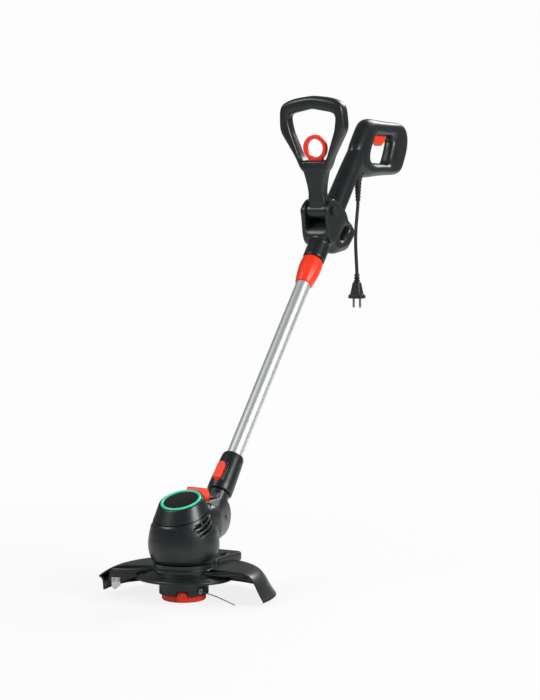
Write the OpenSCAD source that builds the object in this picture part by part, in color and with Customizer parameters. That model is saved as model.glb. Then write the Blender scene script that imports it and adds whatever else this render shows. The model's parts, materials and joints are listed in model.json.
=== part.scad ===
// Corded string trimmer: motor head, tilting neck, telescopic shaft, adjustable
// front handle and rear loop handle. Millimetres, +Z up, +Y towards the user.
// The origin is the centre of the spool cover's flat base.

/* [Shaft] */
// Lean of the shaft from the vertical, in degrees
shaft_lean = 40.5; // [40:0.5:41]
// Outer radius of the aluminium tube
tube_r = 12.5; // [12:0.1:12.5]
// Wall of the aluminium tube
tube_wall = 1.2; // [1:0.1:1.5]
// Distance along the shaft axis to the tube's lower end
tube_from = 196; // [194:1:198]
// Distance along the shaft axis to the tube's upper end
tube_to = 700; // [690:1:710]
// Radial running clearance of every turning or sliding fit
run_gap = 0.05; // [0.03:0.01:0.08]

/* [Motor head] */
// Widest radius of the motor housing
barrel_r = 55; // [54:0.5:56]
// Height of the motor housing's lower face
barrel_z = 58; // [58:0.5:59]
// Height of the seam between the housing and its cap
seam_z = 116; // [114:1:118]
// Tilt of the badge on top of the cap, in degrees
badge_tilt = 21; // [19:1:22]
// Radius of the turquoise ring around the badge
badge_r = 31.7; // [30:0.1:33]
// Radius of the tilt knuckle's cheeks
knuckle_r = 31; // [30:0.5:32]
// Distance along the shaft axis to the tilt pivot
knuckle_t = 115.5; // [115:0.5:116]

/* [Spool head] */
// Outer radius of the spool carrier
carrier_r = 38; // [37:0.5:39]
// Outer radius of the orange spool cover
cover_r = 34; // [33.5:0.5:34.5]
// Diameter of the cutting line
line_d = 1.6; // [1.4:0.1:2]

/* [Guard] */
// Radius of the guard's rim on the open side
rim_r = 142; // [138:1:144]
// Angle of the guard's right edge, from +X
guard_from = 1; // [0:1:5]
// Angle of the guard's left edge, from +X
guard_to = 198; // [195:1:200]
// Thickness of the guard
guard_wall = 2.6; // [2.4:0.1:3]

/* [Front handle] */
// Lean of the front handle from the vertical, in degrees
front_lean = 7; // [5:0.5:9]
// Radius of the front handle's pivot drum
drum_r = 12.5; // [12:0.5:13]
// Depth of the D-shaped grip
grip_depth = 25; // [23:1:26]

/* [Rear handle] */
// Radius of the handle neck around the tube
neck_r = 19; // [18.5:0.1:19.5]
// Width of the rear loop
loop_w = 35; // [32:1:37]
// Radius of the mains cord
cord_r = 3; // [2.8:0.1:3.2]

/* [Hidden] */
$fn = 64;

charcoal = [0.17, 0.19, 0.19];
orange = [1.0, 0.27, 0.07];
turquoise = [0.25, 0.85, 0.7];
steel = [0.75, 0.76, 0.78];
copper = [0.75, 0.4, 0.2];
black = [0.06, 0.06, 0.07];
silver = [0.86, 0.87, 0.88];

far = 400;                      // longer than any cut needs
axis_z = 30.7;                  // the shaft axis crosses the spindle axis here
socket_from = 159;              // lower rim of the tube socket, along the shaft
socket_to = 229;                // upper rim of the tube socket
sleeve_from = 579;              // lower end of the clamp sleeve
neck_from = 631.5;              // lower end of the rear handle's neck
neck_to = 870;                  // where the neck has run into the loop
bore_to = 853;                  // end of the tube's room inside the neck
front_pivot = [0, 430.9, 594.4];
trigger_pivot = [0, 621, 733];
ring_s = 107;                   // height of the pull ring's centre along the front handle
cord_exit = [0, 574, 656];

// ---------- outlines ----------
function unit(v) = v / norm(v);
function spin(v, a) = [v[0] * cos(a) - v[1] * sin(a), v[0] * sin(a) + v[1] * cos(a)];
function point(p) = [p[0], p[1]];

// Arc that rounds the corner b between a and c
function corner(a, b, c, r, n) =
    r == 0 ? [b] :
    let (u = unit(a - b), v = unit(c - b), half = acos(u * v) / 2,
         centre = b + unit(u + v) * r / sin(half), start = b + u * r / tan(half) - centre,
         side = sign(v[0] * u[1] - v[1] * u[0]))
    [for (k = [0:n]) centre + spin(start, side * (180 - 2 * half) * k / n)];

// Closed outline from [x, y, corner radius] points
function rounded(p, n = 6) = [
    for (i = [0:len(p) - 1])
        each corner(point(p[(i + len(p) - 1) % len(p)]), point(p[i]),
                    point(p[(i + 1) % len(p)]), p[i][2], n)
];

// Closed outline of a thin band: a line of points and the same line moved by shift
function band(p, shift) = concat(p, [for (i = [len(p) - 1:-1:0]) p[i] + shift]);

// ---------- placing ----------
// Local z runs up the shaft, local y is the shaft's underside
module on_shaft(t = 0)
    translate([0, 0, axis_z]) rotate([-shaft_lean, 0, 0]) translate([0, 0, t]) children();

// Local z runs up the front handle
module on_front_handle(s = 0)
    translate(front_pivot) rotate([front_lean, 0, 0]) translate([0, 0, s]) children();

// A flat outline in (y, z), given a width along x
module side_plate(w) rotate([90, 0, 90]) linear_extrude(w, center = true) children();

// A flat outline in (x, z), given a depth along y
module front_plate(d) rotate([90, 0, 0]) linear_extrude(d, center = true) children();

module x_rod(r, w, x = 0) translate([x, 0, 0]) rotate([0, 90, 0]) cylinder(r = r, h = w, center = true);

module tube(outer, inner, h) difference() {
    cylinder(r = outer, h = h);
    translate([0, 0, -1]) cylinder(r = inner, h = h + 2);
}

// Solid through rings of equal point count, with flat ends
module loft(rings) {
    n = len(rings[0]);
    last = len(rings) - 1;
    polyhedron(
        points = [for (ring = rings) each ring],
        faces = concat(
            [[for (k = [n - 1:-1:0]) k]],
            [[for (k = [0:n - 1]) last * n + k]],
            [for (i = [0:last - 1]) for (k = [0:n - 1])
                each [[i * n + k, i * n + (k + 1) % n, (i + 1) * n + (k + 1) % n],
                      [i * n + k, (i + 1) * n + (k + 1) % n, (i + 1) * n + k]]]),
        convexity = 8);
}

// Ring of n points about p, square to direction d, whose first point leans towards x
function ring_at(p, d, r, n) =
    let (w = unit(d), u = unit(cross([1, 0.02, 0.03], w)), v = cross(w, u))
    [for (k = [0:n - 1]) p + r * (cos(360 * k / n) * u + sin(360 * k / n) * v)];

// Round tube along points
module swept(path, r, n = 8)
    loft([for (i = [0:len(path) - 1])
        ring_at(path[i], path[min(i + 1, len(path) - 1)] - path[max(i - 1, 0)], r, n)]);

// Coil spring that stands on z = 0
module coil(r, wire, height, turns) {
    steps = 10 * turns;
    loft([for (i = [0:steps])
        let (a = 360 * i / 10, w = [cos(a), sin(a), 0])
        [for (k = [0:5]) w * (r + wire * cos(60 * k))
            + [0, 0, wire + (height - 2 * wire) * i / steps + wire * sin(60 * k)]]]);
}

module screw(r, length, head_r) {
    cylinder(r = r, h = length);
    translate([0, 0, length]) cylinder(r = head_r, h = 2);
}

// ---------- rear handle ----------
loop_outline = rounded([
    [506, 652, 0], [593, 756, 20], [753, 749, 18], [759, 716, 14], [728, 664, 22],
    [560, 655, 8], [528, 634, 0]]);
hand_hole = rounded([[606, 684, 9], [671, 679, 9], [697, 727, 9], [627, 723, 9]]);
lobe_outline = rounded([
    [10, 766, 0], [36, 752, 6], [77, 757, 9], [73, 716, 26], [36, 676, 20], [10, 664, 0]]);
lobe_slot = rounded([[37, 714, 3.5], [45.6, 714, 3.5], [51.6, 745, 3.5], [43, 745, 3.5]]);
ear_outline = rounded([
    [-12, 664, 0], [-57, 700, 14], [-51, 727, 13], [-12, 738, 0]]);
ear_base = [[-23, 668], [-23, 733], [-4, 742], [-4, 660]];
loop_screws = [[588, 672], [640, 668], [716, 690], [736, 735], [606, 742]];

module rear_handle_solid() {
    side_plate(loop_w - 9) polygon(loop_outline);
    side_plate(loop_w) offset(delta = -4.5) polygon(loop_outline);
    on_shaft(neck_from) cylinder(r = neck_r, h = neck_to - neck_from);
    on_shaft() side_plate(26) polygon(lobe_outline);
    on_shaft() for (side = [-1, 1]) translate([side * 23, 0, 0]) side_plate(8) polygon(ear_outline);
    on_shaft() side_plate(44) polygon(ear_base);
}

module rear_handle_rooms() {
    side_plate(far) polygon(hand_hole);
    // the tube slides up this bore
    on_shaft(neck_from - 1) cylinder(r = 15.5, h = bore_to - neck_from + 1);
    on_shaft() side_plate(far) polygon(lobe_slot);
    // the front handle's drum turns between the ears
    translate(front_pivot) x_rod(drum_r + 1, 38.8);
    translate(front_pivot) x_rod(4, far);
    // trigger slot, switch pocket and cord grommet seat
    translate([-6.4, 614, 716]) cube([12.8, 63, 30]);
    translate([-9, 676, 728]) cube([18, 34, 16]);
    translate(trigger_pivot) x_rod(2, 24);
    translate(cord_exit - [0, 0, 4]) cylinder(r = 6, h = 12);
    for (p = loop_screws) translate([0, p[0], p[1]]) x_rod(1.5, 24);
}

module rear_handle_shell(side) difference() {
    rear_handle_solid();
    rear_handle_rooms();
    translate([side < 0 ? 0 : -far, 300, 400]) cube([far, 600, 500]);
}

module rear_handle_left() color(charcoal) rear_handle_shell(-1);
module rear_handle_right() color(charcoal) rear_handle_shell(1);

module handle_screws() color(steel)
    for (p = loop_screws) translate([0, p[0], p[1]]) x_rod(1.5, 23);

module power_switch() color(black) {
    translate([-8.7, 676.5, 728.4]) cube([17.4, 33, 15.2]);
    translate([0, 676.6, 734]) rotate([90, 0, 0]) cylinder(r = 2.5, h = 1.6);
}

module trigger_pin() color(steel) translate(trigger_pivot) x_rod(2, 23.6);

module trigger_spring() color(steel) translate([0, 650, 736.2]) coil(3, 0.5, 9.6, 5);

module cord_grommet() color(black) {
    translate(cord_exit - [0, 0, 1]) cylinder(r = 6, h = 9);
    translate(cord_exit - [0, 0, 4]) cylinder(r = 8, h = 3.2);
    difference() {
        translate(cord_exit - [0, 0, 44]) cylinder(r1 = 4.2, r2 = 7, h = 40);
        for (i = [0:5]) translate(cord_exit - [0, 0, 38 - 5 * i]) tube(9, 3.8 + 0.4 * i, 1.6);
    }
}

cord_route = [
    [0, 574, 612], [0, 573.5, 604], [0, 572, 594], [0, 570, 583], [0, 568, 572], [0, 566.5, 561],
    [0, 565.7, 550], [0, 565.7, 539], [0, 566.3, 528], [0, 567.4, 517], [0, 568.7, 506],
    [0, 570, 495], [0, 571, 484]];

module power_cord() color(black) swept(cord_route, cord_r, 12);

plug_top = [0, 571, 484];

module plug_body() color(black) translate(plug_top) {
    for (i = [0:3]) translate([0, 0, -4 - 4 * i]) cylinder(r = 4.6 + 0.3 * i, h = 2.6);
    translate([0, 0, -16]) cylinder(r = 3.8, h = 16);
    translate([0, 0, -37]) cylinder(r1 = 10, r2 = 7.5, h = 22);
    translate([-14, -11, -44]) cube([28, 22, 7]);
}

module plug_blades() color(silver) translate(plug_top)
    for (side = [-1, 1]) translate([side * 6.3 - 0.75, -3, -60]) cube([1.5, 6, 16]);

module tube_collet() color(black) on_shaft() difference() {
    union() {
        translate([0, 0, 587]) cylinder(r = 14.5, h = 45);
        translate([0, 0, neck_from]) cylinder(r = 15.5, h = 58);
    }
    translate([0, 0, 580]) cylinder(r = tube_r + run_gap, h = 120);
    for (a = [0:60:120]) rotate([0, 0, a]) translate([-20, -0.8, 580]) cube([40, 1.6, 30]);
}

module pivot_bolt() color(black) translate(front_pivot) {
    x_rod(4, 58, 2);
    x_rod(8, 4, 29);
}

module pivot_nut() color(black) translate(front_pivot) difference() {
    x_rod(8, 5, -29.5);
    x_rod(4, 80);
}

// ---------- trigger ----------
trigger_outline = rounded([
    [616, 736, 3], [616, 729, 4], [634, 717, 6], [651, 709.5, 7], [664, 717, 5], [671, 727, 3],
    [671, 736, 2]]);

module trigger() color(orange) difference() {
    side_plate(12) polygon(trigger_outline);
    translate(trigger_pivot) x_rod(2 + run_gap, 20);
}

// ---------- clamp sleeve ----------
sleeve_outline = [
    [12.8, 0], [14.2, 0], [15, 1], [16.8, 12], [18.3, 24], [19, 34], [18.9, 43], [18, 49],
    [17.4, 52], [14.5 + run_gap, 52], [14.5 + run_gap, 7.6], [12.8, 7.6]];

module clamp_sleeve() color(orange) on_shaft(sleeve_from) rotate_extrude() polygon(sleeve_outline);

// ---------- front handle ----------
grip_outline = rounded([
    [-18, 9, 0], [-15, 32, 14], [-31, 86, 60], [-63, 138, 24], [-60, 182, 14], [-34, 191, 60], [0, 195, 120],
    [34, 191, 60], [60, 182, 14], [63, 138, 24], [31, 86, 60], [15, 32, 14], [18, 9, 0]]);
grip_hole = rounded([
    [-22, 84, 4], [-41, 136, 20], [-46, 164, 9], [0, 173, 90], [46, 164, 9], [41, 136, 20], [22, 84, 4]]);

module front_handle() color(charcoal) difference() {
    union() {
        on_front_handle() front_plate(grip_depth - 9) polygon(grip_outline);
        on_front_handle() front_plate(grip_depth) offset(delta = -3.5) polygon(grip_outline);
        translate(front_pivot) x_rod(drum_r, 37);
    }
    on_front_handle() front_plate(far) polygon(grip_hole);
    translate(front_pivot) x_rod(4 + run_gap, 60);
    // the pull rod and its spring run down the stem
    on_front_handle(50) cylinder(r = 5, h = 28);
    on_front_handle(16) cylinder(r = 2.6, h = 80);
}

module release_spring() color(steel) on_front_handle(62.5) coil(3.9, 0.5, 15.2, 5);

module release_ring() color(orange) on_front_handle(ring_s) {
    rotate([90, 0, 0]) rotate_extrude() translate([18.8, 0])
        polygon(rounded([[-3.6, -4.5, 1.5], [3.6, -4.5, 1.5], [3.6, 4.5, 1.5], [-3.6, 4.5, 1.5]], 3));
    translate([-14, -4.5, -22.4]) cube([28, 9, 5.4]);
    translate([0, 0, -84]) cylinder(r = 2.5, h = 65);
    translate([0, 0, -46.7]) cylinder(r = 4.8, h = 2);
}

// ---------- shaft ----------
module aluminium_tube() color(silver) on_shaft(tube_from)
    tube(tube_r, tube_r - tube_wall, tube_to - tube_from);

socket_outline = [
    [0, 0], [19, 0], [20.5, 1.5], [20.6, 12], [19.6, 38], [18.4, 60], [17.9, 66], [16.6, 69.4], [15, 70], [0, 70]];
button_t = 187;

module button_shape(r, depth_from, depth_to) {
    for (t = [-10, 10]) translate([0, 0, t]) rotate([90, 0, 0])
        translate([0, 0, depth_from]) cylinder(r = r, h = depth_to - depth_from);
    translate([-r, -depth_to, -10]) cube([2 * r, depth_to - depth_from, 20]);
}

module tube_socket() color(charcoal) difference() {
    union() {
        on_shaft(socket_from) rotate_extrude() polygon(socket_outline);
        on_shaft(button_t) button_shape(9.4, 10, 20.8);
    }
    on_shaft(socket_from - 1) cylinder(r = 15, h = 32);
    on_shaft(socket_from + 30) cylinder(r = 11, h = 8);
    on_shaft(tube_from) cylinder(r = tube_r, h = 60);
    on_shaft(button_t) button_shape(7.3, 9, 40);
    for (t = [208, 220]) on_shaft(t) x_rod(1.5, 60);
}

module socket_screws() color(steel) for (t = [208, 220]) for (side = [-1, 1])
    on_shaft(t) x_rod(1.5, 4, side * 14.6);

module motor_lead() color(black) on_shaft(208) cylinder(r = 5, h = 478);

module button_spring() color(steel) on_shaft(button_t + 12) translate([0, -12.7, 0])
    rotate([90, 0, 0]) coil(2.4, 0.4, 4.7, 3);

module swivel_button() color(orange) on_shaft(button_t) difference() {
    button_shape(7, 17.5, 24.4);
    translate([0, -24.4, -24]) rotate([-24, 0, 0]) translate([-10, -20, -10]) cube([20, 20, 20]);
}

// ---------- swivel neck ----------
module swivel_neck() color(charcoal) difference() {
    union() {
        on_shaft(145) cylinder(r = 15 - run_gap, h = 43);
        on_shaft(141) cylinder(r = 17.6, h = 17.6);
        on_shaft(knuckle_t) x_rod(28, 19);
        on_shaft() side_plate(19) polygon([[-17, 116], [17, 116], [17, 150], [-17, 150]]);
    }
    on_shaft(knuckle_t) x_rod(4 + run_gap, 40);
    on_shaft(150) cylinder(r = 7, h = 60);
}

module tilt_pin() color(steel) on_shaft(knuckle_t) {
    x_rod(4, 40);
    for (side = [-1, 1]) x_rod(7, 2, side * 20.5);
}

// ---------- motor head ----------
barrel_outline = [
    [0, barrel_z], [43, barrel_z], [47, barrel_z + 1.5], [50, 64], [53, 72], [barrel_r - 0.4, 80],
    [barrel_r, 86], [barrel_r - 0.4, 93], [53, 104], [50.3, seam_z], [0, seam_z]];
cap_region = rounded([[-90, seam_z, 0], [2, seam_z, 40], [40, 146, 20], [34, 200, 0], [-90, 200, 0]]);

module on_badge(h = 0) translate([0, -8.2, 154.7]) rotate([badge_tilt, 0, 0]) translate([0, 0, h]) children();

// Cone from the seam up to the tilted badge
module cap_cone(inset = 0) hull() {
    translate([0, 0, seam_z - 1]) cylinder(r = 49.9 - inset, h = 0.5);
    on_badge(-2 - inset) cylinder(r = badge_r + 2.6 - inset, h = 1.5);
}

// Bulge behind the motor that carries the knuckle's two cheeks
module bulge() hull() {
    translate([0, 0, 92]) cylinder(r = 51, h = 1);
    translate([0, 0, seam_z]) cylinder(r = 47, h = 1);
    translate([0, 14, 148]) cylinder(r = 22, h = 1);
    on_shaft(knuckle_t) x_rod(knuckle_r, 42);
}

// Slot in which the swivel neck's disc and collar tilt
module knuckle_slot() {
    on_shaft(knuckle_t) x_rod(28.6, 19.8);
    for (a = [-50, -29, -8, 14]) on_shaft(knuckle_t) rotate([a, 0, 0]) {
        translate([-9.7, -19, 0]) cube([19.4, 38, 60]);
        translate([-18.6, -19, 23]) cube([37.2, 38, 60]);
    }
}

module head_room() {
    translate([0, 0, 62]) cylinder(r = 42, h = 24);
    translate([0, 0, 84]) cylinder(r = 30, h = 58);
    translate([0, 0, barrel_z - 1]) cylinder(r = 9, h = 80);
}

// Slanted vents in both flanks, across the seam
module cooling_slits() for (side = [-1, 1]) for (i = [0:2])
    translate([side * 44, -13 + 3 * i, 124 - 6 * i])
        rotate([24, 0, 0]) cube([36, 36 - 4 * i, 2.8], center = true);

module motor_housing() color(charcoal) difference() {
    union() {
        rotate_extrude() polygon(barrel_outline);
        cap_cone();
        bulge();
    }
    head_room();
    side_plate(far) polygon(cap_region);
    knuckle_slot();
    on_shaft(knuckle_t) x_rod(4, 60);
    for (side = [-1, 1]) on_shaft(knuckle_t) x_rod(7.2, 3, side * 21);
    pedal_room();
    cap_screw_holes();
    for (p = guard_holes) translate([p[0], p[1], barrel_z - 1]) cylinder(r = 1.6, h = 12);
    cooling_slits();
}

module top_cap() color(charcoal) difference() {
    intersection() {
        union() {
            cap_cone();
            bulge();
        }
        side_plate(far) polygon(cap_region);
    }
    head_room();
    intersection() {
        cap_cone(3);
        translate([0, -40, 130]) cube([110, 104, 60], center = true);
    }
    knuckle_slot();
    on_badge(-2.4) cylinder(r = badge_r, h = 10);
    pedal_room();
    cap_screw_holes();
    cooling_slits();
}

module trim_ring() color(turquoise) on_badge(-2.4) tube(badge_r, badge_r - 3.2, 3);

module badge_disc() color(black) on_badge(-2.4) cylinder(r1 = badge_r - 3.2, r2 = badge_r - 3.4, h = 2.6);

module cap_screw_holes() for (side = [-1, 1]) translate([side * 37, -8, 99]) cylinder(r = 1.5, h = 24);
module cap_screws() color(steel) for (side = [-1, 1]) translate([side * 37, -8, 99]) cylinder(r = 1.5, h = 23.5);

module stator_core() color(steel) translate([0, 0, 88]) intersection() {
    tube(29.95, 17.4, 34);
    translate([-30, -27, -1]) cube([60, 54, 40]);
}

module field_coils() color(copper) for (side = [-1, 1]) for (z = [82, 122])
    translate([0, 0, z]) intersection() {
        tube(27, 18, 6);
        translate([side > 0 ? 6 : -36, -20, -1]) cube([30, 40, 10]);
    }

module brush_holders() color(black) for (side = [-1, 1])
    translate([side > 0 ? 10.4 : -28.4, -4, 129]) cube([18, 8, 8]);

module bearing_bracket() color(black) translate([0, 0, 137]) tube(29.95, 9, 4);

module bearing(z) color(steel) translate([0, 0, z]) tube(9, 4 + run_gap, 6);
module upper_bearing() bearing(138);
module lower_bearing() bearing(barrel_z + 1);

// ---------- guard ----------
guard_holes = [[-26, 26], [26, 26], [-26, -26], [26, -26]];

// Outer line of the guard's section, from the collar to the rim
dome_line = [[38, 50], [98, 50], [111, 47.5], [120, 42], [126, 34], [131, 25], [rim_r - 5, 15], [rim_r, 8]];

module guard_dome() rotate([0, 0, guard_from]) rotate_extrude(angle = guard_to - guard_from)
    polygon(band(dome_line, [-guard_wall, -guard_wall]));

apron_outline = [
    [40, 46], [46, 46], [56, 41.5], [66, 38], [68, 36], [68, 33], [65.5, 33], [54, 36.5], [45, 39.5],
    [42, 35], [41.5, 30], [38, 30], [38, 46]];
flange_angle = guard_to - 2.5;
left_flange = [[60, 49], [112, 46], [120, 39], [122, 22], [104, 20], [84, 29], [60, 36]];
right_rib = [[60, 49], [108, 46], [100, 40], [60, 38]];
spine_outline = rounded([[-34, 36, 0], [34, 36, 0], [34, 122, 18], [-34, 122, 18]]);
spine_room = rounded([[-31, 52, 0], [31, 52, 0], [31, 119, 15], [-31, 119, 15]]);
boss_y = 84;

module guard() color(charcoal) difference() {
    union() {
        guard_dome();
        rotate_extrude() polygon(apron_outline);
        // collar that bolts to the motor housing
        translate([0, 0, 44]) cylinder(r = 47, h = barrel_z - 44);
        rotate([0, 0, flange_angle]) front_plate(3.4) polygon(left_flange);
        rotate([0, 0, guard_from + 2.5]) front_plate(2.6) polygon(right_rib);
        // raised spine behind the motor
        translate([0, 0, 46.8]) linear_extrude(12.7) polygon(spine_outline);
        for (side = [-1, 1]) translate([side * 22, boss_y, 55]) cylinder(r = 8, h = 6);
    }
    translate([0, 0, 40]) linear_extrude(17) polygon(spine_room);
    for (side = [-1, 1]) translate([side * 22, boss_y, 58.6]) cylinder(r = 4, h = 20);
    translate([0, 0, 28]) cylinder(r = 39.5, h = 18);
    translate([0, 0, barrel_z]) cylinder(r = 54, h = 10);
    translate([0, 0, 40]) cylinder(r = 20, h = 30);
    for (p = guard_holes) translate([p[0], p[1], 40]) cylinder(r = 1.6, h = 30);
}

module guard_screws() color(steel) for (p = guard_holes)
    translate([p[0], p[1], 65]) rotate([180, 0, 0]) screw(1.6, 19, 2.6);

module on_flange(r, z) rotate([0, 0, flange_angle]) translate([r, 1.7, z]) children();

module line_cutter() color(silver) on_flange(0, 0) difference() {
    translate([0, 0.6, 0]) front_plate(1.2) polygon([[102, 29], [116, 29], [116, 14], [111, 10], [102, 17]]);
    for (x = [105, 113]) translate([x, 0, 25]) rotate([90, 0, 0]) cylinder(r = 1.6, h = 10, center = true);
}

module cutter_screws() color(steel) for (x = [105, 113])
    on_flange(x, 25) rotate([-90, 0, 0]) {
        cylinder(r = 1.5, h = 1.2);
        translate([0, 0, 1.2]) cylinder(r = 3, h = 1.6);
    }

// ---------- tilt pedal ----------
pedal_hinge = [0, 45, 141];
pedal_outline = rounded([
    [26, 163, 3], [29, 170, 4], [50, 166, 6], [57, 155, 4], [50, 136, 4], [41, 136, 4], [41, 154, 4], [28, 160, 2]]);

module pedal_room() {
    translate([-13, 24, 148]) cube([26, 36, 40]);
    translate([-13, 37, 133]) cube([26, 20, 16]);
    translate(pedal_hinge) x_rod(2, 34);
}

module tilt_pedal() color(orange) difference() {
    side_plate(25) polygon(pedal_outline);
    translate(pedal_hinge) x_rod(2 + run_gap, 40);
}

module pedal_pin() color(steel) translate(pedal_hinge) x_rod(2, 33.6);

module pedal_spring() color(steel) translate([0, 33, 148.2]) coil(3.2, 0.5, 9.4, 4);

// ---------- rotor and spool head ----------
module motor_shaft() color(steel) translate([0, 0, 13]) cylinder(r = 4, h = 132);

module armature() color(steel) translate([0, 0, 88]) difference() {
    tube(16.8, 4, 34);
    for (i = [0:11]) rotate([0, 0, 30 * i]) translate([15.4, 0, -1]) cylinder(r = 1.6, h = 36, $fn = 24);
}

module commutator() color(copper) translate([0, 0, 124]) difference() {
    tube(10, 4, 12);
    for (i = [0:11]) rotate([0, 0, 30 * i]) translate([9, -0.4, -1]) cube([3, 0.8, 20]);
}

module cooling_fan() color(black) translate([0, 0, 70]) {
    tube(10, 4, 10);
    tube(38, 9, 2);
    for (i = [0:8]) rotate([0, 0, 40 * i]) translate([9, -0.8, 0]) cube([28, 1.6, 9]);
}

tab_angles = [-62, 118];
eyelet_angle = -18;

module spool_carrier() color(charcoal) difference() {
    union() {
        translate([0, 0, 10]) cylinder(r = carrier_r, h = 18);
        translate([0, 0, 27]) cylinder(r = 12, h = 24);
    }
    translate([0, 0, 9]) tube(carrier_r - 2.5, 8, 16);
    translate([0, 0, 5]) cylinder(r = 4, h = 60);
    for (a = tab_angles) rotate([0, 0, a]) translate([33, -8, 5]) cube([10, 16, 13]);
    rotate([0, 0, eyelet_angle]) translate([30, 0, 17]) rotate([0, 90, 0]) cylinder(r = 3, h = 20);
}

module line_eyelet() color(steel) rotate([0, 0, eyelet_angle]) translate([34.9, 0, 17])
    rotate([0, 90, 0]) difference() {
        union() {
            cylinder(r = 3, h = 3.2);
            translate([0, 0, 3.2]) cylinder(r = 4.4, h = 1.4);
        }
        translate([0, 0, -1]) cylinder(r = line_d / 2 + 0.5, h = 10);
    }

line_route = [
    [33, -11, 17], [38, -12, 17], [44, -14, 16.8], [52, -16, 16.2], [61, -17, 15], [70, -17, 13],
    [79, -17, 10.4], [87, -16, 7.6], [94, -15, 5], [100, -14, 2.6]];

module cutting_line() color([0.5, 0.52, 0.52]) swept(line_route, line_d / 2, 8);

cover_outline = [[0, 0], [30.5, 0], [33, 0.8], [cover_r, 3], [cover_r, 9.8], [cover_r - 2.4, 9.8],
    [cover_r - 2.4, 3], [10.6, 3], [10.6, 2.6], [0, 2.6]];

module spool_cover() color(orange) {
    rotate_extrude() polygon(cover_outline);
    for (a = tab_angles) rotate([0, 0, a]) translate([32.5, -7.6, 3]) cube([6, 15.2, 14.6]);
}

module spool_spring() color(steel) translate([0, 0, 3]) coil(13, 0.6, 5.2, 3);

module spool() color(black) translate([0, 0, 8.6]) {
    tube(31, 8 + run_gap, 1.6);
    tube(15, 8 + run_gap, 15);
    translate([0, 0, 13.4]) tube(31, 8 + run_gap, 1.6);
}

module line_winding() color([0.5, 0.52, 0.52]) translate([0, 0, 10.3]) tube(27, 15, 11.6);

rear_handle_left();
rear_handle_right();
handle_screws();
power_switch();
trigger_pin();
trigger_spring();
cord_grommet();
power_cord();
plug_body();
plug_blades();
tube_collet();
pivot_bolt();
pivot_nut();
trigger();
clamp_sleeve();
front_handle();
release_spring();
release_ring();
aluminium_tube();
tube_socket();
socket_screws();
motor_lead();
button_spring();
swivel_button();
swivel_neck();
tilt_pin();
motor_housing();
top_cap();
trim_ring();
badge_disc();
cap_screws();
stator_core();
field_coils();
brush_holders();
bearing_bracket();
upper_bearing();
lower_bearing();
guard();
guard_screws();
line_cutter();
cutter_screws();
pedal_pin();
pedal_spring();
tilt_pedal();
motor_shaft();
armature();
commutator();
cooling_fan();
spool_carrier();
line_eyelet();
cutting_line();
spool_cover();
spool_spring();
spool();
line_winding();
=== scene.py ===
import json
import math

import bmesh
import bpy
import numpy as np
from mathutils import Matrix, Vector


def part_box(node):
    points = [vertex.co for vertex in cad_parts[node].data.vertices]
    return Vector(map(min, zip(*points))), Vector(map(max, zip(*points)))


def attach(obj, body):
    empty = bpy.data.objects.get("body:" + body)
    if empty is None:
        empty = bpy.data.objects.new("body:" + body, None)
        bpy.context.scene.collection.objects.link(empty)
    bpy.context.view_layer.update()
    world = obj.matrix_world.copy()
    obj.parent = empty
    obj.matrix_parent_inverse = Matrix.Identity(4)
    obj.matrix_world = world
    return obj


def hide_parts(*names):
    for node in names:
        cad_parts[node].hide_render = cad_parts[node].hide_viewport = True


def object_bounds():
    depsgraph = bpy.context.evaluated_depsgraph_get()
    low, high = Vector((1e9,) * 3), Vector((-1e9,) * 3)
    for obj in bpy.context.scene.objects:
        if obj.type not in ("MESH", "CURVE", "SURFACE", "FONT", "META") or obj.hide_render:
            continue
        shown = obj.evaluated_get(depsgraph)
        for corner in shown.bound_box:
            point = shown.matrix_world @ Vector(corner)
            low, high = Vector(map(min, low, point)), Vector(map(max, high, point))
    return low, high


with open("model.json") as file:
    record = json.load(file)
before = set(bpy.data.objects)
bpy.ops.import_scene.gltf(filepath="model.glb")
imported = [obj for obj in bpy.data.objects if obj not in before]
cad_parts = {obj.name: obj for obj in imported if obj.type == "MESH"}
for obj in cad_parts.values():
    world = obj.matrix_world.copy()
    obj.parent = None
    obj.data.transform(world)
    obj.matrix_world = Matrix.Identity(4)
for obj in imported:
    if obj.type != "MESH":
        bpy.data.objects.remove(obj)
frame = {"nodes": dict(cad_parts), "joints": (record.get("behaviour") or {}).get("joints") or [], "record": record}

cadLow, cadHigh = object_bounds()
nodes = frame["nodes"]
joints = {joint["name"]: joint for joint in frame["joints"]}
mm = 0.001
sideways = np.array([1.0, 0.0, 0.0])


# places that the frame gives
def jointPoint(name):
    return np.array(joints[name]["pos_m"])


def boxOf(node):
    low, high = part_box(node)
    return np.array(low), np.array(high)


shaftUp = np.array(joints["head_swivel"]["axis"])
shaftUnder = np.cross(shaftUp, sideways)
kneePoint = jointPoint("head_tilt")
kneeAlong = 115.5        # mm from the foot of the shaft axis to the tilt pivot
shaftFoot = kneePoint - shaftUp * kneeAlong * mm
handlePivot = jointPoint("front_handle_tilt")
handleUp = np.array(joints["release_pull"]["axis"])
handleBack = np.cross(handleUp, sideways)


def onShaft(under, along, side):      # mm across and along the leaning shaft, made frame points
    return (shaftFoot + np.multiply.outer(np.asarray(along) * mm, shaftUp)
            + np.multiply.outer(np.asarray(under) * mm, shaftUnder)
            + np.multiply.outer(np.asarray(side) * mm, sideways))


def onFrontHandle(side, up, depth):   # mm in the front handle's own plane, made frame points
    return (handlePivot + np.multiply.outer(np.asarray(up) * mm, handleUp)
            + np.multiply.outer(np.asarray(side) * mm, sideways)
            + np.multiply.outer(np.asarray(depth) * mm, handleBack))


def upright(y, z, side):              # mm in the handle's upright middle plane
    return np.stack(np.broadcast_arrays(side, y, z), -1) * mm


def level(x, y, z):
    return np.stack(np.broadcast_arrays(x, y, z), -1) * mm


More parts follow.
